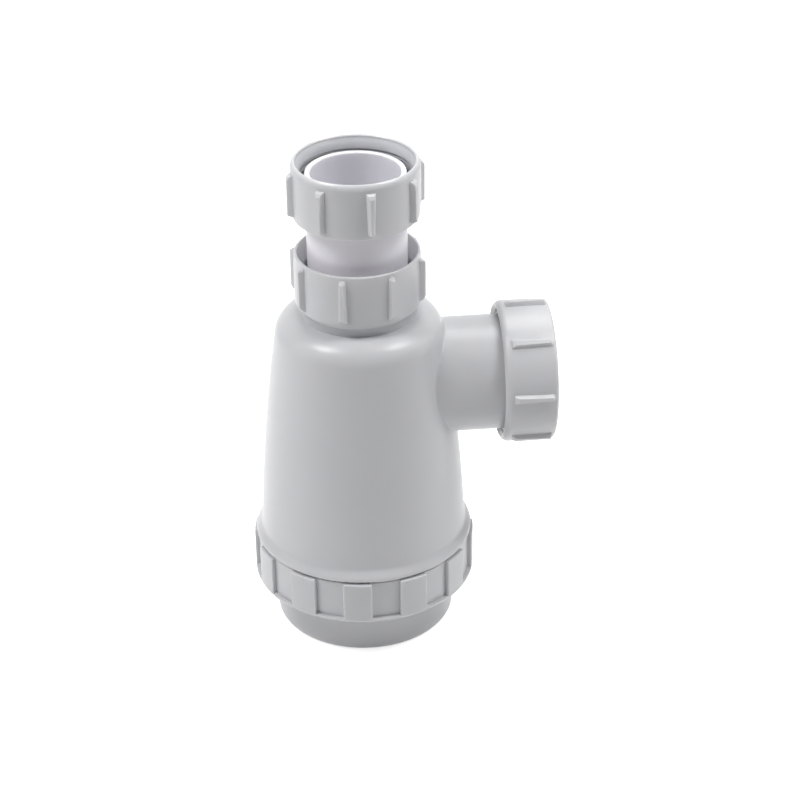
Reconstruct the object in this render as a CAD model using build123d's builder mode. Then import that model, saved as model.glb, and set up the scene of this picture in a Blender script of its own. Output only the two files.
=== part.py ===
from build123d import *
from math import cos, radians, sin
import os

os.makedirs("parts", exist_ok=True)

# Millimetres. The origin is the middle of the flat underside of the base cup, +Z points up the
# inlet and +X points out of the side outlet.

# The 32 mm waste pipe, which is also the telescopic inlet
pipe_radius = 18.1
pipe_wall = 2.0
slip_gap = 0.55
seal_grip_gap = 0.08
washer_gap = 1.3

# Base cup, measured up from the surface it stands on
cup_radius = 33.7
cup_wall = 2.4
cup_floor = 2.5
cup_depth = 18.9
cup_foot_round = 3.0
cup_inner_round = 2.5
ring_floor = 2.55

# Grip ring around the top of the cup, with its raised lugs
ring_wall = 2.05
lug_height = 1.6
lug_count = 12
lug_span = 15.0
lug_turn = 22.0
ledge_height = 1.3
lug_round = 0.45
ring_foot_round = 0.9
seam_gap = 0.5

# Flat seal between the cup and the body
base_seal_thickness = 2.5
base_seal_width = 4.4

# Threads are plain cylinders here: a male one at its crest, a female one at its root
thread_gap = 0.35
thread_lead = 0.7
base_thread_radius = 37.8
base_thread_length = 12.0
base_thread_wall = 2.55
neck_thread_radius = 20.95
outlet_thread_radius = 22.9
outlet_thread_length = 8.0

# Bottle body
body_wall = 2.4
skirt_setback = 0.5
skirt_height = 6.0
skirt_draft = 2.3
skirt_blend = 5.0
skirt_lip_round = 0.8
body_foot_inset = 0.65
body_foot_rise = 10.0
body_middle_radius = 35.8
body_middle_rise = 44.2
body_top_radius = 29.75
body_height = 92.45
shoulder_round = 9.4
neck_height = 12.9
dip_tube_wall = 2.05
dip_tube_foot = 8.4

# Side outlet, its axis placed down from the top of the shoulder
outlet_drop = 28.8
outlet_reach = 60.2
outlet_shank_radius = 21.4
outlet_root_round = 1.0
outlet_way_radius = 16.1
outlet_way_start = 1.0
outlet_socket_depth = 19.0

# Taper seals and slip washers of the three compression joints
washer_thickness = 1.2
washer_edge_inset = 0.1
seal_flange = 2.4
seal_edge_inset = 0.2
seal_seat_gap = 0.2
seat_depth = 3.2
seat_step = 0.3
seat_lip = 1.6

# Compression nuts: two on the inlet pipe and a larger one on the outlet
nut_height = 20.8
nut_radius = 23.1
nut_lip_inset = 1.2
nut_dish = 5.5
nut_rim_width = 0.85
nut_rim_round = 0.45
rib_height = 1.9
outlet_nut_height = 19.4
outlet_nut_radius = 26.25
outlet_nut_lip_inset = 1.6
outlet_nut_dish = 4.0
outlet_nut_rim_width = 1.7
outlet_nut_rim_round = 1.2
outlet_rib_height = 1.5

# What the nuts have in common
nut_hole_gap = 1.07
nut_web = 2.5
nut_lip_drop = 2.4
nut_lip_flat = 0.2
nut_top_inset = 0.35
nut_top_band = 5.4
rib_count = 8
rib_foot_width = 3.5
rib_top_width = 2.6
rib_start = 3.0
rib_stop = 1.3
rib_end_round = 1.2
rib_draft = 25.0
rib_root = 1.4
rib_foot_lead = 0.8

# How the nuts were left turned
neck_nut_turn = 27.0
inlet_nut_turn = -9.0
outlet_nut_turn = 40.0

# Telescopic inlet, as pulled out at rest
tube_shown = 14.45
tube_length = 110.0
tube_setback = 4.6
tube_rim_round = 0.5
tube_foot_lead = 1.0

# Heights and places that follow from the sizes above
bore_radius = pipe_radius + slip_gap
seal_bore_radius = pipe_radius + seal_grip_gap
washer_bore_radius = pipe_radius + washer_gap
nut_hole_radius = pipe_radius + nut_hole_gap
cup_thread_radius = base_thread_radius + thread_gap
pocket_radius = cup_thread_radius + ring_wall
lug_radius = pocket_radius + lug_height
skirt_radius = lug_radius - skirt_setback
skirt_top_radius = skirt_radius - skirt_draft
body_foot_radius = skirt_top_radius - body_foot_inset
seal_seat_height = cup_depth + ring_floor
thread_foot = seal_seat_height + base_seal_thickness
skirt_foot = thread_foot + base_thread_length
ring_top = skirt_foot - seam_gap
ledge = cup_depth + ledge_height
shoulder_top = skirt_foot + body_height
neck_top = shoulder_top + neck_height
nut_seat = seal_flange + washer_thickness
neck_nut_top = neck_top + nut_seat + nut_web + nut_dish
inlet_nut_foot = neck_nut_top + tube_shown
inlet_nut_mouth = inlet_nut_foot + nut_height
inlet_seal_face = inlet_nut_foot + nut_dish + nut_web + nut_seat
tube_top = inlet_nut_mouth - tube_setback
tube_foot = tube_top - tube_length
outlet_height = shoulder_top - outlet_drop

# The bottle's sections lie on the side away from the outlet, whose root blend then has no seam
bottle_section = Plane(origin=(0, 0, 0), x_dir=(-1, 0, 0), z_dir=(0, 1, 0))
outlet_axis = Plane(origin=(0, 0, outlet_height), x_dir=(0, 0, -1), z_dir=(1, 0, 0))
outlet_section = Plane(origin=(0, 0, outlet_height), x_dir=(0, 0, 1), z_dir=(0, 1, 0))


# Base cup: a round cup whose top widens into the lugged grip ring, threaded inside
with BuildPart() as base_cup:
    with BuildSketch(Plane.XZ) as cup_outside:
        with BuildLine():
            Polyline(
                (0, 0),
                (cup_radius, 0),
                (cup_radius, cup_depth),
                (lug_radius, cup_depth),
                (lug_radius, ledge),
                (pocket_radius, ledge),
                (pocket_radius, ring_top),
                (0, ring_top),
                close=True,
            )
        make_face()
        foot = cup_outside.vertices().sort_by_distance((cup_radius, 0))[0]
        fillet(foot, cup_foot_round)
        ring_corner = cup_outside.vertices().sort_by_distance((lug_radius, cup_depth))[0]
        fillet(ring_corner, ring_foot_round)
    revolve(axis=Axis.Z)
    # The lugs stand on a ledge, and the pockets between them are open at the top
    pocket_half = radians((360 / lug_count - lug_span) / 2)
    pocket_reach = 2 * lug_radius
    with BuildSketch(Plane.XY.offset(ledge)) as lugs:
        Circle(lug_radius)
        with PolarLocations(0, lug_count, start_angle=lug_turn + 180 / lug_count):
            Polygon(
                (0, 0),
                (pocket_reach * cos(pocket_half), -pocket_reach * sin(pocket_half)),
                (pocket_reach * cos(pocket_half), pocket_reach * sin(pocket_half)),
                align=None,
                mode=Mode.SUBTRACT,
            )
        Circle(cup_thread_radius, mode=Mode.SUBTRACT)
        outer_corners = lugs.vertices().filter_by(
            lambda v: Vector(v.X, v.Y).length > pocket_radius)
        fillet(outer_corners, lug_round)
    extrude(amount=ring_top - ledge)
    fillet(base_cup.edges().group_by(Axis.Z)[-1], lug_round)

    # Inside: the thread's root, the ledge for the flat seal and the sump
    with BuildSketch(Plane.XZ) as cup_inside:
        with BuildLine():
            Polyline(
                (0, cup_floor),
                (cup_radius - cup_wall, cup_floor),
                (cup_radius - cup_wall, seal_seat_height),
                (cup_thread_radius, seal_seat_height),
                (cup_thread_radius, ring_top - thread_lead),
                (cup_thread_radius + thread_lead, ring_top),
                (0, ring_top),
                close=True,
            )
        make_face()
        sump_corner = cup_inside.vertices().sort_by_distance((cup_radius - cup_wall, cup_floor))[0]
        fillet(sump_corner, cup_inner_round)
    revolve(axis=Axis.Z, mode=Mode.SUBTRACT)
base_cup.part.label = "base_cup"


def seat_profile(mouth, foot_radius, mouth_radius):
    """Half section of the tapered seat in a socket's mouth, from the axis outwards."""
    Polyline(
        (0, mouth),
        (mouth_radius, mouth),
        (foot_radius, mouth - seat_depth),
        (0, mouth - seat_depth),
        close=True,
    )


# Trap body: bottle, skirt, threaded neck, dip tube and side outlet in one moulding
with BuildPart() as trap_body:
    side_foot = (body_foot_radius, skirt_foot + body_foot_rise)
    side_middle = (body_middle_radius, skirt_foot + body_middle_rise)
    side_top = (body_top_radius, shoulder_top)
    with BuildSketch(bottle_section) as bottle_outside:
        with BuildLine():
            Polyline(
                (0, thread_foot),
                (base_thread_radius - thread_lead, thread_foot),
                (base_thread_radius, thread_foot + thread_lead),
                (base_thread_radius, skirt_foot),
                (skirt_radius, skirt_foot),
                (skirt_top_radius, skirt_foot + skirt_height),
                side_foot,
            )
            ThreePointArc(side_foot, side_middle, side_top)
            Polyline(
                side_top,
                (neck_thread_radius, shoulder_top),
                (neck_thread_radius, neck_top - thread_lead),
                (neck_thread_radius - thread_lead, neck_top),
                (0, neck_top),
                (0, thread_foot),
            )
        make_face()
        fillet(bottle_outside.vertices().sort_by_distance(side_top)[0], shoulder_round)
        fillet(bottle_outside.vertices().sort_by_distance((skirt_radius, skirt_foot))[0],
               skirt_lip_round)
        skirt_top = (skirt_top_radius, skirt_foot + skirt_height)
        fillet(bottle_outside.vertices().sort_by_distance(skirt_top)[0], skirt_blend)
    revolve(axis=Axis.Z)

    # The outlet's shank, blended into the bottle, and its thread
    with BuildSketch(outlet_axis) as shank:
        Circle(outlet_shank_radius)
    extrude(amount=outlet_reach)
    shank_root = trap_body.edges().filter_by(GeomType.BSPLINE)
    fillet(shank_root, outlet_root_round)
    with BuildSketch(outlet_axis.offset(outlet_reach - outlet_thread_length)) as outlet_thread:
        Circle(outlet_thread_radius)
    extrude(amount=outlet_thread_length)
    thread_ends = trap_body.faces().filter_by(GeomType.CYLINDER).sort_by(Axis.X)[-1].edges()
    chamfer(thread_ends.filter_by(GeomType.CIRCLE), thread_lead)

    # The water space between the bottle's wall and the dip tube
    dip_tube_radius = bore_radius + dip_tube_wall
    inner_foot = (base_thread_radius - base_thread_wall, skirt_foot + body_foot_rise)
    inner_middle = (body_middle_radius - body_wall, skirt_foot + body_middle_rise)
    inner_top = (body_top_radius - body_wall, shoulder_top - body_wall)
    with BuildSketch(bottle_section) as water_space:
        with BuildLine():
            Polyline(
                (dip_tube_radius, thread_foot),
                (inner_foot[0], thread_foot),
                inner_foot,
            )
            ThreePointArc(inner_foot, inner_middle, inner_top)
            Polyline(
                inner_top,
                (dip_tube_radius, inner_top[1]),
                (dip_tube_radius, thread_foot),
            )
        make_face()
        fillet(water_space.vertices().sort_by_distance(inner_top)[0], shoulder_round - body_wall)
    revolve(axis=Axis.Z, mode=Mode.SUBTRACT)

    # The dip tube goes on down into the cup, and one bore runs through it and the neck
    with BuildSketch(Plane.XY.offset(dip_tube_foot)) as dip_tube_end:
        Circle(dip_tube_radius)
    extrude(amount=thread_foot - dip_tube_foot)
    with BuildSketch(Plane.XY.offset(dip_tube_foot)) as inlet_bore:
        Circle(bore_radius)
    extrude(amount=neck_top - dip_tube_foot, mode=Mode.SUBTRACT)
    with BuildSketch(bottle_section) as neck_seat:
        with BuildLine():
            seat_profile(neck_top, bore_radius + seat_step, neck_thread_radius - seat_lip)
        make_face()
    revolve(axis=Axis.Z, mode=Mode.SUBTRACT)

    # The outlet's waterway, the deeper socket that the waste pipe slides into, and its seat
    with BuildSketch(outlet_axis.offset(dip_tube_radius + outlet_way_start)) as outlet_way:
        Circle(outlet_way_radius)
    extrude(amount=outlet_reach - dip_tube_radius - outlet_way_start, mode=Mode.SUBTRACT)
    with BuildSketch(outlet_axis.offset(outlet_reach - outlet_socket_depth)) as outlet_socket:
        Circle(bore_radius)
    extrude(amount=outlet_socket_depth, mode=Mode.SUBTRACT)
    with BuildSketch(outlet_section) as outlet_seat:
        with BuildLine():
            seat_profile(outlet_reach, bore_radius + seat_step, outlet_thread_radius - seat_lip)
        make_face()
    revolve(axis=Axis((0, 0, outlet_height), (1, 0, 0)), mode=Mode.SUBTRACT)
trap_body.part.label = "trap_body"


# Flat seal between the foot of the body's thread and the ledge inside the cup
with BuildPart() as base_seal:
    with BuildSketch(Plane.XY.offset(seal_seat_height)):
        Circle(base_thread_radius - seal_edge_inset)
        Circle(base_thread_radius - seal_edge_inset - base_seal_width, mode=Mode.SUBTRACT)
    extrude(amount=base_seal_thickness)
base_seal.part.label = "base_seal"


# Telescopic inlet: a plain length of pipe with a rounded rim and a lead-in at its foot
with BuildPart() as inlet_tube:
    with BuildSketch(Plane.XY.offset(tube_foot)):
        Circle(pipe_radius)
        Circle(pipe_radius - pipe_wall, mode=Mode.SUBTRACT)
    extrude(amount=tube_length)
    fillet(inlet_tube.edges().group_by(Axis.Z)[-1], tube_rim_round)
    outer_foot = inlet_tube.edges().group_by(Axis.Z)[0].sort_by(SortBy.RADIUS)[-1]
    chamfer(outer_foot, tube_foot_lead)
inlet_tube.part.label = "inlet_tube"


# The three compression joints are built about their own axis. Height 0 is the mouth of the
# threaded socket, and the pipe leaves upwards.
def taper_seal(thread_radius):
    """Rubber ring: a flange on the socket's mouth and a tapered nose inside it."""
    nose_radius = thread_radius - seat_lip - seal_seat_gap
    tip_radius = bore_radius + seat_step - seal_seat_gap
    with BuildPart() as seal:
        with BuildSketch(Plane.XZ):
            with BuildLine():
                Polyline(
                    (seal_bore_radius, seal_flange),
                    (thread_radius - seal_edge_inset, seal_flange),
                    (thread_radius - seal_edge_inset, 0),
                    (nose_radius, 0),
                    (tip_radius, -seat_depth + seal_seat_gap),
                    (seal_bore_radius, -seat_depth + seal_seat_gap),
                    close=True,
                )
            make_face()
        revolve(axis=Axis.Z)
    return seal.part


def slip_washer(thread_radius):
    """Thin hard ring that lets the nut turn without dragging the seal round."""
    with BuildPart() as washer:
        with BuildSketch(Plane.XY.offset(seal_flange)):
            Circle(thread_radius - washer_edge_inset)
            Circle(washer_bore_radius, mode=Mode.SUBTRACT)
        extrude(amount=washer_thickness)
    return washer.part


def nut_rib(radius, mouth, top, height):
    """Grip rib on the +X side: drafted on every side and rounded at the end away from the mouth."""
    with BuildPart() as rib:
        with BuildSketch(Plane(origin=(radius, 0, 0), x_dir=(0, 1, 0), z_dir=(1, 0, 0))) as outline:
            with BuildLine():
                Polyline(
                    (-rib_foot_width / 2, mouth + rib_start),
                    (rib_foot_width / 2, mouth + rib_start),
                    (rib_top_width / 2, top - rib_stop),
                    (-rib_top_width / 2, top - rib_stop),
                    close=True,
                )
            make_face()
            fillet(outline.vertices().group_by(Axis.Y)[-1], rib_end_round)
        extrude(amount=height, taper=rib_draft)
        mouth_edge = rib.faces().sort_by(Axis.X)[-1].edges().sort_by(Axis.Z)[0]
        chamfer(mouth_edge, rib_foot_lead)
        extrude(outline.sketch, amount=-rib_root)
    return rib.part


def compression_nut(thread_radius, radius, height, lip_inset, dish, rim_width, rim_round, grip):
    """Ribbed nut: its dished web presses on the slip washer and its mouth faces down."""
    root_radius = thread_radius + thread_gap
    top = nut_seat + nut_web + dish
    mouth = top - height
    shoulder = mouth + nut_lip_drop
    lip_radius = radius - lip_inset
    rim_radius = radius - nut_top_inset

    with BuildPart() as nut:
        with BuildSketch(Plane.XZ) as section:
            with BuildLine():
                Polyline(
                    (radius, shoulder),
                    (radius, top - nut_top_band),
                    (rim_radius, top),
                    (rim_radius - rim_width, top),
                    (nut_hole_radius, top - dish),
                    (nut_hole_radius, nut_seat),
                    (root_radius, nut_seat),
                    (root_radius, mouth + lip_radius - nut_lip_flat - root_radius),
                    (lip_radius - nut_lip_flat, mouth),
                    (lip_radius, mouth),
                )
                TangentArc((radius, shoulder), (lip_radius, mouth), tangent=(0, -1))
            make_face()
            fillet(section.vertices().sort_by_distance((rim_radius, top))[0], rim_round)
        revolve(axis=Axis.Z)
        with PolarLocations(0, rib_count):
            add(nut_rib(radius, mouth, top, grip))
    return nut.part


neck_place = Location((0, 0, neck_top))
inlet_place = Location((0, 0, inlet_seal_face), (180, 0, 0))
outlet_place = Location((outlet_reach, 0, outlet_height), (0, 90, 0))

small_seal = taper_seal(neck_thread_radius)
small_washer = slip_washer(neck_thread_radius)
small_nut = compression_nut(
    neck_thread_radius, nut_radius, nut_height, nut_lip_inset, nut_dish,
    nut_rim_width, nut_rim_round, rib_height)
large_seal = taper_seal(outlet_thread_radius)
large_washer = slip_washer(outlet_thread_radius)
large_nut = compression_nut(
    outlet_thread_radius, outlet_nut_radius, outlet_nut_height, outlet_nut_lip_inset,
    outlet_nut_dish, outlet_nut_rim_width, outlet_nut_rim_round, outlet_rib_height)

joints = (
    ("neck", neck_place, neck_nut_turn, small_seal, small_washer, small_nut),
    ("inlet", inlet_place, inlet_nut_turn, small_seal, small_washer, small_nut),
    ("outlet", outlet_place, outlet_nut_turn, large_seal, large_washer, large_nut),
)
finished = [base_cup.part, trap_body.part, base_seal.part, inlet_tube.part]
for name, place, turn, seal, washer, nut in joints:
    for piece, shape in (("seal", seal), ("slip_washer", washer), ("nut", nut)):
        with BuildPart() as placed:
            with Locations(place * Location((0, 0, 0), (0, 0, turn))):
                add(shape)
        placed.part.label = f"{name}_{piece}"
        finished.append(placed.part)

for part in finished:
    export_step(part, f"parts/{part.label}.step")
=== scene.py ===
from math import pi, radians

import bpy
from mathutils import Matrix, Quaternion, Vector


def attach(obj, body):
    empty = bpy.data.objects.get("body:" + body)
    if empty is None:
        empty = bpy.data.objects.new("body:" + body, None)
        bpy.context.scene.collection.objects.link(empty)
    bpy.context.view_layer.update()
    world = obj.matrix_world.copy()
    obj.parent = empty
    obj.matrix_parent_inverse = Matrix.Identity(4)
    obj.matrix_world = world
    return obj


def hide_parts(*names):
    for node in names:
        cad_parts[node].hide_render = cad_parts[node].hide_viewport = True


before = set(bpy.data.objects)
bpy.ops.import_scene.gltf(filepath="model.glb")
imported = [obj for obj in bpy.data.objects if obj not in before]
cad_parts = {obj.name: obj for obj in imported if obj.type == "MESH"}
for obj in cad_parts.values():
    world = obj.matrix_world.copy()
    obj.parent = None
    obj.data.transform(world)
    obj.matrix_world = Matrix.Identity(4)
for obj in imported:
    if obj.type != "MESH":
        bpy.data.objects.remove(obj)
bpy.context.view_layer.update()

# Trap body: the bottle, its skirt, neck, dip tube and side outlet, injection moulded in one
# piece of light grey polypropylene, with a satin skin straight from the mould.

drift_scale = 38.0
drift_detail = 3.0
gloss_scale = 90.0
gloss_detail = 4.0
gloss_spread = 0.10
grain_scale = 2600.0
grain_detail = 2.0


def noise_over(nodes, links, place, scale, detail):
    """A noise pattern on the piece's own coordinates, as a value."""
    noise = nodes.new("ShaderNodeTexNoise")
    noise.inputs["Scale"].default_value = scale
    noise.inputs["Detail"].default_value = detail
    links.new(place.outputs["Object"], noise.inputs["Vector"])
    return noise.outputs["Fac"]


def moulded_skin_group():
    """Slow drift of shade and gloss over a moulding, and the fine grain of its skin."""
    group = bpy.data.node_groups.new("moulded skin", "ShaderNodeTree")
    face = group.interface
    face.new_socket("Colour", in_out="INPUT", socket_type="NodeSocketColor")
    for name in ("Shade Drift", "Roughness", "Grain Height"):
        face.new_socket(name, in_out="INPUT", socket_type="NodeSocketFloat")
    face.new_socket("Colour", in_out="OUTPUT", socket_type="NodeSocketColor")
    for name in ("Roughness", "Height"):
        face.new_socket(name, in_out="OUTPUT", socket_type="NodeSocketFloat")
    nodes, links = group.nodes, group.links
    given = nodes.new("NodeGroupInput")
    result = nodes.new("NodeGroupOutput")
    place = nodes.new("ShaderNodeTexCoord")

    cloud = noise_over(nodes, links, place, drift_scale, drift_detail)
    drift = nodes.new("ShaderNodeMapRange")
    drift.inputs["To Min"].default_value = -1.0
    links.new(cloud, drift.inputs["Value"])
    shade = nodes.new("ShaderNodeMath")
    shade.operation = "MULTIPLY_ADD"
    shade.inputs[2].default_value = 1.0
    links.new(drift.outputs["Result"], shade.inputs[0])
    links.new(given.outputs["Shade Drift"], shade.inputs[1])
    tint = nodes.new("ShaderNodeVectorMath")
    tint.operation = "SCALE"
    links.new(given.outputs["Colour"], tint.inputs[0])
    links.new(shade.outputs["Value"], tint.inputs["Scale"])
    links.new(tint.outputs["Vector"], result.inputs["Colour"])

    patch = noise_over(nodes, links, place, gloss_scale, gloss_detail)
    gloss = nodes.new("ShaderNodeMath")
    gloss.operation = "MULTIPLY_ADD"
    gloss.inputs[1].default_value = gloss_spread
    links.new(patch, gloss.inputs[0])
    links.new(given.outputs["Roughness"], gloss.inputs[2])
    links.new(gloss.outputs["Value"], result.inputs["Roughness"])

    grain = noise_over(nodes, links, place, grain_scale, grain_detail)
    height = nodes.new("ShaderNodeMath")
    height.operation = "MULTIPLY"
    links.new(grain, height.inputs[0])
    links.new(given.outputs["Grain Height"], height.inputs[1])
    links.new(height.outputs["Value"], result.inputs["Height"])
    return group


moulded_skin = moulded_skin_group()
plastic_index = 1.49
light_reach = 0.003
light_tint = (1.0, 0.9, 0.8)
grain_strength = 0.35
grain_relief = 0.00005


def plastic(name, colour, roughness, drift, grain, through):
    """A moulded plastic: its skin group, fine grain as bump and a little light let through."""
    made = bpy.data.materials.new(name)
    made.use_nodes = True
    nodes, links = made.node_tree.nodes, made.node_tree.links
    shader = nodes["Principled BSDF"]
    shader.inputs["IOR"].default_value = plastic_index
    shader.inputs["Subsurface Weight"].default_value = through
    shader.inputs["Subsurface Radius"].default_value = light_tint
    shader.inputs["Subsurface Scale"].default_value = light_reach
    skin = nodes.new("ShaderNodeGroup")
    skin.node_tree = moulded_skin
    skin.inputs["Colour"].default_value = (*colour, 1)
    skin.inputs["Shade Drift"].default_value = drift
    skin.inputs["Roughness"].default_value = roughness
    skin.inputs["Grain Height"].default_value = grain
    links.new(skin.outputs["Colour"], shader.inputs["Base Color"])
    links.new(skin.outputs["Roughness"], shader.inputs["Roughness"])
    bump = nodes.new("ShaderNodeBump")
    bump.inputs["Strength"].default_value = grain_strength
    bump.inputs["Distance"].default_value = grain_relief
    links.new(skin.outputs["Height"], bump.inputs["Height"])
    links.new(bump.outputs["Normal"], shader.inputs["Normal"])
    return made


steps_a_turn = 64
same_place = 1e-5
weld_gap = 2e-6
crease_angle = 32
outlet_height = 0.0996


def pick(piece):
    """Makes a piece the only one selected, and the active one."""
    bpy.ops.object.select_all(action="DESELECT")
    piece.select_set(True)
    bpy.context.view_layer.objects.active = piece


def thread_coil(name, wall_radius, tip_radius, wall_width, tip_width, pitch, foot, lead, turns):
    """A right-handed coil about Z: one profile carried round and up from a point on its helix."""
    start = foot + pitch * lead
    bpy.ops.object.select_all(action="DESELECT")
    bpy.ops.mesh.primitive_plane_add(size=1.0, rotation=(pi / 2, 0, 0))
    coil = bpy.context.object
    coil.name = name
    coil.location = ((wall_radius + tip_radius) / 2, 0, start)
    coil.scale = (abs(tip_radius - wall_radius), wall_width, 1)
    bpy.ops.object.transform_apply(location=True, rotation=True, scale=True)
    for vertex in coil.data.vertices:
        vertex.select = abs(vertex.co.x - tip_radius) < same_place
    bpy.ops.object.mode_set(mode="EDIT")
    narrowing = (1, 1, tip_width / wall_width)
    bpy.ops.transform.resize(value=narrowing, center_override=(tip_radius, 0, start))
    bpy.ops.mesh.select_all(action="SELECT")
    bpy.ops.mesh.delete(type="ONLY_FACE")
    bpy.ops.object.mode_set(mode="OBJECT")
    screw = coil.modifiers.new("carried round", "SCREW")
    screw.angle = 2 * pi * turns
    screw.screw_offset = pitch * turns
    screw.steps = screw.render_steps = round(steps_a_turn * turns)
    bpy.ops.object.modifier_apply(modifier=screw.name)
    bpy.ops.object.mode_set(mode="EDIT")
    bpy.ops.mesh.select_all(action="SELECT")
    bpy.ops.mesh.fill_holes(sides=4)
    bpy.ops.mesh.select_all(action="SELECT")
    bpy.ops.mesh.normals_make_consistent(inside=False)
    bpy.ops.object.mode_set(mode="OBJECT")
    coil.rotation_euler.z = 2 * pi * lead
    bpy.ops.object.transform_apply(location=False, rotation=True, scale=False)
    return coil


def lay_along_outlet(coil):
    """Turns a coil made about Z so that it runs along the outlet, outwards and at its height."""
    pick(coil)
    coil.rotation_euler.y = pi / 2
    coil.location.z = outlet_height
    bpy.ops.object.transform_apply(location=True, rotation=True, scale=False)


def merged_copy(node, name):
    """A separate copy of a carried-over node with its loose triangles joined."""
    made = bpy.data.objects.new(name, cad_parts[node].data.copy())
    bpy.context.scene.collection.objects.link(made)
    pick(made)
    bpy.ops.mesh.customdata_custom_splitnormals_clear()
    bpy.ops.object.mode_set(mode="EDIT")
    bpy.ops.mesh.select_all(action="SELECT")
    bpy.ops.mesh.remove_doubles(threshold=weld_gap)
    bpy.ops.object.mode_set(mode="OBJECT")
    return made


def cut_groove(piece, cutter):
    """Cuts a coil out of a piece and takes the cutter away."""
    pick(piece)
    cut = piece.modifiers.new("groove", "BOOLEAN")
    cut.operation = "DIFFERENCE"
    cut.solver = "EXACT"
    cut.object = cutter
    bpy.ops.object.modifier_apply(modifier=cut.name)
    bpy.data.objects.remove(cutter)


def soften(piece):
    """Smooth shading, broken only at edges sharper than the crease angle."""
    pick(piece)
    bpy.ops.object.shade_smooth_by_angle(angle=radians(crease_angle))


nut_pitch = 0.002309
cup_pitch = 0.004
groove_slope = 1.04
neck_crest = 0.02095
neck_thread_start = 0.13295
outlet_crest = 0.0229
outlet_thread_start = 0.0506
foot_crest = 0.0378
foot_thread_start = 0.0226
thread_depth = 0.00115
foot_thread_depth = 0.0011
groove_floor = 0.00055
foot_groove_floor = 0.0012
cut_over = 0.0005
neck_groove_turns = 4.1
outlet_groove_turns = 4.9
foot_groove_turns = 2.9


def groove_cutter(name, crest, depth, floor_width, pitch, start, turns):
    """The space between the turns of a male thread, carried a little past its crest."""
    outside = crest + cut_over
    opening = floor_width + groove_slope * (depth + cut_over)
    return thread_coil(name, outside, crest - depth, opening, floor_width, pitch, start,
                       lead=0, turns=turns)


skirt_rim_height = 0.0368
skirt_rim_radius = 0.04093
skirt_hollow_height = 0.0408
skirt_hollow_radius = 0.03866
skirt_top_height = 0.04595
skirt_top_radius = 0.03835
skirt_rings = 12
outer_skin = 0.0372


def skirt_radius(height):
    """The real skirt's radius at a height: round at the rim, hollow above, then the plain wall."""
    if height < skirt_hollow_height:
        share = (height - skirt_rim_height) / (skirt_hollow_height - skirt_rim_height)
        eased = share * share * (3 - 2 * share)
        return skirt_rim_radius + (skirt_hollow_radius - skirt_rim_radius) * eased
    share = (height - skirt_hollow_height) / (skirt_top_height - skirt_hollow_height)
    return skirt_hollow_radius + (skirt_top_radius - skirt_hollow_radius) * share


def roll_skirt(piece):
    """Works the skirt's plain cone into the round and the hollow of the real one, ring by ring."""
    ring_gap = (skirt_hollow_height - skirt_rim_height) / skirt_rings
    bpy.ops.object.mode_set(mode="EDIT")
    for number in range(1, skirt_rings + 1):
        height = skirt_rim_height + number * ring_gap
        bpy.ops.mesh.select_all(action="SELECT")
        bpy.ops.mesh.bisect(plane_co=(0, 0, height), plane_no=(0, 0, 1))
    bpy.ops.mesh.select_all(action="DESELECT")
    bpy.ops.object.mode_set(mode="OBJECT")
    rings = {}
    for vertex in piece.data.vertices:
        on_skirt = skirt_rim_height < vertex.co.z < skirt_top_height
        if on_skirt and vertex.co.xy.length > outer_skin:
            rings.setdefault(round(vertex.co.z, 6), []).append(vertex.index)
    for height, ring in sorted(rings.items()):
        for index in ring:
            piece.data.vertices[index].select = True
        spread = skirt_radius(height) / piece.data.vertices[ring[0]].co.xy.length
        bpy.ops.object.mode_set(mode="EDIT")
        bpy.ops.transform.resize(value=(spread, spread, 1), center_override=(0, 0, height))
        bpy.ops.mesh.select_all(action="DESELECT")
        bpy.ops.object.mode_set(mode="OBJECT")


trap_shell = merged_copy("trap_body", "trap_shell")
roll_skirt(trap_shell)
neck_cutter = groove_cutter("neck_cutter", neck_crest, thread_depth, groove_floor, nut_pitch,
                            neck_thread_start, neck_groove_turns)
cut_groove(trap_shell, neck_cutter)
outlet_cutter = groove_cutter("outlet_cutter", outlet_crest, thread_depth, groove_floor,
                              nut_pitch, outlet_thread_start, outlet_groove_turns)
lay_along_outlet(outlet_cutter)
cut_groove(trap_shell, outlet_cutter)
foot_cutter = groove_cutter("foot_cutter", foot_crest, foot_thread_depth, foot_groove_floor,
                            cup_pitch, foot_thread_start, foot_groove_turns)
cut_groove(trap_shell, foot_cutter)
soften(trap_shell)
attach(trap_shell, "trap")
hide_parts("trap_body")

grey_polypropylene = plastic("grey polypropylene", colour=(0.605, 0.607, 0.626), roughness=0.26,
                             drift=0.02, grain=1.0, through=0.5)
trap_shell.data.materials.clear()
trap_shell.data.materials.append(grey_polypropylene)

# Base cup: the same grey polypropylene, screwed up onto the bottle's foot by its lugged grip
# ring. Its coarse thread runs inside the ring, above the flat seal.

ridge_root = 0.00005


def nut_ridge(name, wall, tip, tip_width, pitch, start, lead, turns):
    """The thread's ridge inside a nut or cup, on the helix of the groove that it runs in."""
    into_wall = wall + ridge_root
    wall_width = tip_width + groove_slope * (into_wall - tip)
    return thread_coil(name, into_wall, tip, wall_width, tip_width, pitch, start, lead, turns)


def finish_ridge(ridge, body):
    """Gives a ridge or cone the plastic of its nut or cup, and lets it move with that body."""
    soften(ridge)
    ridge.data.materials.append(grey_polypropylene)
    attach(ridge, body)


def wear_material(name, material):
    """Puts a finish on a carried-over node."""
    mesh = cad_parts[name].data
    mesh.materials.clear()
    mesh.materials.append(material)


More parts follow.
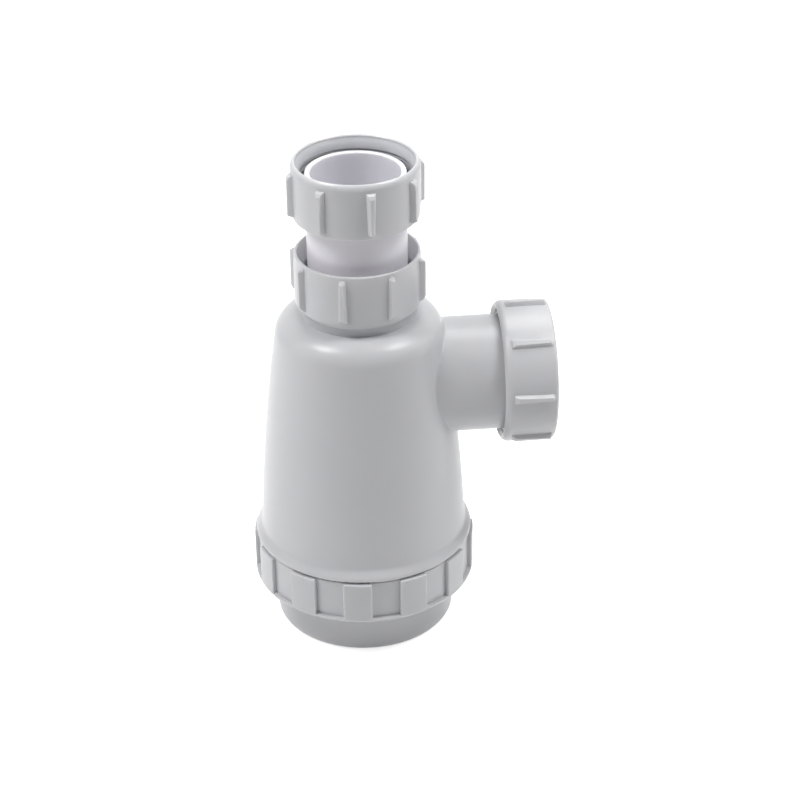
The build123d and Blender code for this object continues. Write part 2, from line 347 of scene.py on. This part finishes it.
wear_material("base_cup", grey_polypropylene)
cup_thread_wall = 0.03815
cup_ridge_tip = 0.0377
cup_ridge_width = 0.0010
cup_ridge_lead = 0.75
cup_ridge_turns = 2.05
cup_ridge = nut_ridge("base_cup_thread", cup_thread_wall, cup_ridge_tip, cup_ridge_width,
                      cup_pitch, foot_thread_start, cup_ridge_lead, cup_ridge_turns)
finish_ridge(cup_ridge, "base_cup")

black_rubber = plastic("black rubber", colour=(0.012, 0.012, 0.013), roughness=0.55,
                       drift=0.1, grain=1.0, through=0.0)
wear_material("base_seal", black_rubber)

# Inlet pipe: an extruded white polypropylene pipe, cut square and smooth. It slides down the
# bottle's neck to set the height, and both small nuts grip it.

white_polypropylene = plastic("white polypropylene pipe", colour=(0.79, 0.78, 0.82),
                              roughness=0.3, drift=0.01, grain=1.0, through=0.5)
wear_material("inlet_tube", white_polypropylene)

# Neck nut: ribbed ring nut with a dished top, screwed down on the bottle's neck. It presses a
# slip washer and a tapered rubber ring round the pipe.

wear_material("neck_nut", grey_polypropylene)
nut_wall = 0.0213
neck_ridge_tip = 0.02088
nut_ridge_width = 0.0009
nut_ridge_turns = 3.2
neck_ridge_lead = 0.15
neck_ridge = nut_ridge("neck_nut_thread", nut_wall, neck_ridge_tip, nut_ridge_width, nut_pitch,
                       neck_thread_start, neck_ridge_lead, nut_ridge_turns)
finish_ridge(neck_ridge, "neck_nut")
natural_polythene = plastic("natural polythene", colour=(0.76, 0.76, 0.74), roughness=0.4,
                            drift=0.02, grain=1.0, through=0.3)
wear_material("neck_slip_washer", natural_polythene)
wear_material("neck_seal", black_rubber)

# Inlet nut: the same moulding the other way up, its threaded mouth open for the basin waste.
# Inside the mouth a smooth cone leads in to the thread's first turn.

wear_material("inlet_nut", grey_polypropylene)
inlet_thread_foot = 0.1797
inlet_ridge_tip = 0.01995
inlet_ridge_width = 0.00025
inlet_ridge_turns = 1.75
inlet_ridge = nut_ridge("inlet_nut_thread", nut_wall, inlet_ridge_tip, inlet_ridge_width,
                        nut_pitch, inlet_thread_foot, lead=0, turns=inlet_ridge_turns)
finish_ridge(inlet_ridge, "inlet_nut")
lead_top = 0.18745
lead_crest = 0.18385
lead_under = 0.18335
lead_foot = 0.18235
lead_wall = 0.02135
lead_bore = 0.0200
lead_low_height = 0.18500
lead_low_radius = 0.02018
lead_high_height = 0.18630
lead_high_radius = 0.02056
lead_sides = 96
bpy.ops.object.select_all(action="DESELECT")
bpy.ops.mesh.primitive_circle_add(vertices=lead_sides, radius=lead_wall,
                                  location=(0, 0, lead_foot), fill_type="NOTHING")
lead_cone = bpy.context.object
lead_cone.name = "inlet_nut_lead"
bpy.ops.object.transform_apply(location=True, rotation=True, scale=True)
bpy.ops.object.mode_set(mode="EDIT")
bpy.ops.mesh.select_all(action="SELECT")
lead_steps = ((lead_bore, lead_under), (lead_bore, lead_crest),
              (lead_low_radius, lead_low_height), (lead_high_radius, lead_high_height),
              (lead_wall, lead_top), (lead_wall, lead_foot))
last_radius, last_height = lead_wall, lead_foot
for radius, height in lead_steps:
    rise = (0, 0, height - last_height)
    bpy.ops.mesh.extrude_edges_move(TRANSFORM_OT_translate={"value": rise})
    spread = radius / last_radius
    bpy.ops.transform.resize(value=(spread, spread, 1), center_override=(0, 0, height))
    last_radius, last_height = radius, height
bpy.ops.mesh.select_all(action="SELECT")
bpy.ops.mesh.remove_doubles(threshold=weld_gap)
bpy.ops.mesh.normals_make_consistent(inside=False)
bpy.ops.object.mode_set(mode="OBJECT")
finish_ridge(lead_cone, "inlet_nut")
wear_material("inlet_slip_washer", natural_polythene)
wear_material("inlet_seal", black_rubber)

# Outlet nut: a larger ribbed ring nut on the side outlet, with its own slip washer and tapered
# ring, which grip the waste pipe pushed in from the right.

wear_material("outlet_nut", grey_polypropylene)
outlet_nut_wall = 0.02325
outlet_ridge_tip = 0.02283
outlet_ridge_lead = 0.6
outlet_ridge = nut_ridge("outlet_nut_thread", outlet_nut_wall, outlet_ridge_tip, nut_ridge_width,
                         nut_pitch, outlet_thread_start, outlet_ridge_lead, nut_ridge_turns)
lay_along_outlet(outlet_ridge)
finish_ridge(outlet_ridge, "outlet_nut")
wear_material("outlet_slip_washer", natural_polythene)
wear_material("outlet_seal", black_rubber)

# Studio: a white paper floor that keeps the trap's soft shadow, a tall soft box at each side,
# three lights above, and the camera of a catalogue photograph, above and in front.


def background_rays(nodes, links):
    """One for the rays that should meet the bright background: camera, clear and mirror rays."""
    path = nodes.new("ShaderNodeLightPath")
    clear = nodes.new("ShaderNodeMath")
    clear.operation = "MAXIMUM"
    links.new(path.outputs["Is Camera Ray"], clear.inputs[0])
    links.new(path.outputs["Is Transmission Ray"], clear.inputs[1])
    mirror = nodes.new("ShaderNodeMath")
    mirror.operation = "MAXIMUM"
    links.new(clear.outputs["Value"], mirror.inputs[0])
    links.new(path.outputs["Is Glossy Ray"], mirror.inputs[1])
    return mirror.outputs["Value"]


floor_size = 12.0
paper_shade = 0.82
paper_lift = 0.72
bpy.ops.object.select_all(action="DESELECT")
bpy.ops.mesh.primitive_plane_add(size=floor_size)
floor = bpy.context.object
floor.name = "studio_floor"
paper = bpy.data.materials.new("white paper")
paper.use_nodes = True
nodes, links = paper.node_tree.nodes, paper.node_tree.links
surface = nodes["Principled BSDF"]
surface.inputs["Base Color"].default_value = (paper_shade, paper_shade, paper_shade, 1)
surface.inputs["Roughness"].default_value = 0.9
surface.inputs["Specular IOR Level"].default_value = 0.1
lift = nodes.new("ShaderNodeEmission")
lift.inputs["Strength"].default_value = paper_lift
seen = nodes.new("ShaderNodeMixShader")
links.new(background_rays(nodes, links), seen.inputs["Fac"])
dark = nodes.new("ShaderNodeEmission")
dark.inputs["Strength"].default_value = 0.0
links.new(dark.outputs["Emission"], seen.inputs[1])
links.new(lift.outputs["Emission"], seen.inputs[2])
both = nodes.new("ShaderNodeAddShader")
links.new(surface.outputs["BSDF"], both.inputs[0])
links.new(seen.outputs["Shader"], both.inputs[1])
links.new(both.outputs["Shader"], nodes["Material Output"].inputs["Surface"])
floor.data.materials.append(paper)

air_tint = (0.93, 0.95, 1.0)
air_strength = 0.11
world = bpy.data.worlds.new("studio air")
bpy.context.scene.world = world
world.use_nodes = True
nodes, links = world.node_tree.nodes, world.node_tree.links
air = nodes["Background"]
air.inputs["Color"].default_value = (*air_tint, 1)
air.inputs["Strength"].default_value = air_strength
backdrop = nodes.new("ShaderNodeBackground")
backdrop.inputs["Color"].default_value = (1, 1, 1, 1)
backdrop.inputs["Strength"].default_value = 1.0
choice = nodes.new("ShaderNodeMixShader")
links.new(background_rays(nodes, links), choice.inputs["Fac"])
links.new(air.outputs["Background"], choice.inputs[1])
links.new(backdrop.outputs["Background"], choice.inputs[2])
links.new(choice.outputs["Shader"], nodes["World Output"].inputs["Surface"])

trap_middle = Vector((0.0, 0.0, 0.09))


def soft_box(name, place, width, height, power):
    """An area light of that size, turned to face the middle of the trap."""
    data = bpy.data.lights.new(name, "AREA")
    data.shape = "RECTANGLE"
    data.size = width
    data.size_y = height
    data.energy = power
    box = bpy.data.objects.new(name, data)
    bpy.context.scene.collection.objects.link(box)
    box.location = place
    box.rotation_euler = (trap_middle - Vector(place)).to_track_quat("-Z", "Y").to_euler()


soft_box("left_soft_box", place=(-0.9, -0.1, 0.35), width=0.6, height=0.9, power=1.85)
soft_box("right_soft_box", place=(0.9, -0.05, 0.35), width=0.6, height=0.9, power=1.85)
soft_box("upper_left_light", place=(-0.5, -0.12, 0.88), width=0.3, height=0.3, power=4.6)
soft_box("upper_right_light", place=(0.5, -0.12, 0.88), width=0.3, height=0.3, power=3.6)
soft_box("upper_back_light", place=(0.1, 0.35, 0.95), width=0.5, height=0.5, power=3.6)

photo_width = 800
film_width = 36.0
nearest_seen = 0.05
focal_pixels = 2286
camera_place = Vector((-0.05020, -0.73309, 0.51776))
camera_target = Vector((0.01447, -0.00128, 0.09024))
camera_roll = radians(-0.81)
camera_data = bpy.data.cameras.new("catalogue_camera")
camera_data.sensor_width = film_width
camera_data.lens = film_width * focal_pixels / photo_width
camera_data.clip_start = nearest_seen
camera = bpy.data.objects.new("catalogue_camera", camera_data)
bpy.context.scene.collection.objects.link(camera)
camera.location = camera_place
camera.rotation_mode = "QUATERNION"
look = (camera_target - camera_place).to_track_quat("-Z", "Y")
camera.rotation_quaternion = look @ Quaternion((0, 0, 1), camera_roll)
bpy.context.scene.camera = camera
bpy.context.scene.view_settings.view_transform = "Standard"
